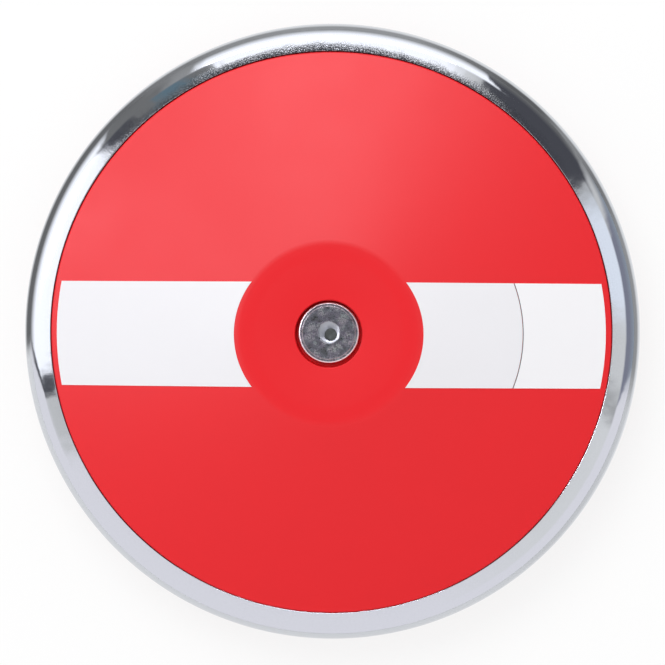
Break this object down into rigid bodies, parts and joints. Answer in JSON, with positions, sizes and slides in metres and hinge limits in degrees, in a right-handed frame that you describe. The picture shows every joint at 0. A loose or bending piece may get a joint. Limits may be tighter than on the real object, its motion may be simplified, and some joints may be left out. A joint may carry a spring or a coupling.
{
  "type": "discus",
  "caption": "Round throwing disc, thick in the middle and tapering to a heavy plated steel rim, with red plastic side plates clamped by a central screw.",
  "frame": {"origin": "middle of the disc, on its axis and halfway through its thickness", "axes": "+Z along the disc's axis, out of the labelled face; +X along the band of labels, towards the piece with the divider; +Y across the band"},
  "size_m": [0.181, 0.181, 0.0381],
  "materials": {
    "rim_plated_steel": "polished",
    "side_plate_red": "satin",
    "fastener_zinc": "satin",
    "weight_steel": "satin",
    "label_vinyl": "satin"
  },
  "bodies": {
    "root": {"rim": "rim_plated_steel", "front_side_plate": "side_plate_red", "back_side_plate": "side_plate_red", "centre_screw": "fastener_zinc", "centre_sleeve_nut": "fastener_zinc", "trim_weight_1": "weight_steel", "trim_weight_2": "weight_steel", "trim_weight_3": "weight_steel", "trim_weight_4": "weight_steel", "label_left": "label_vinyl", "label_right_inner": "label_vinyl", "label_right_outer": "label_vinyl"}
  },
  "joints": []
}
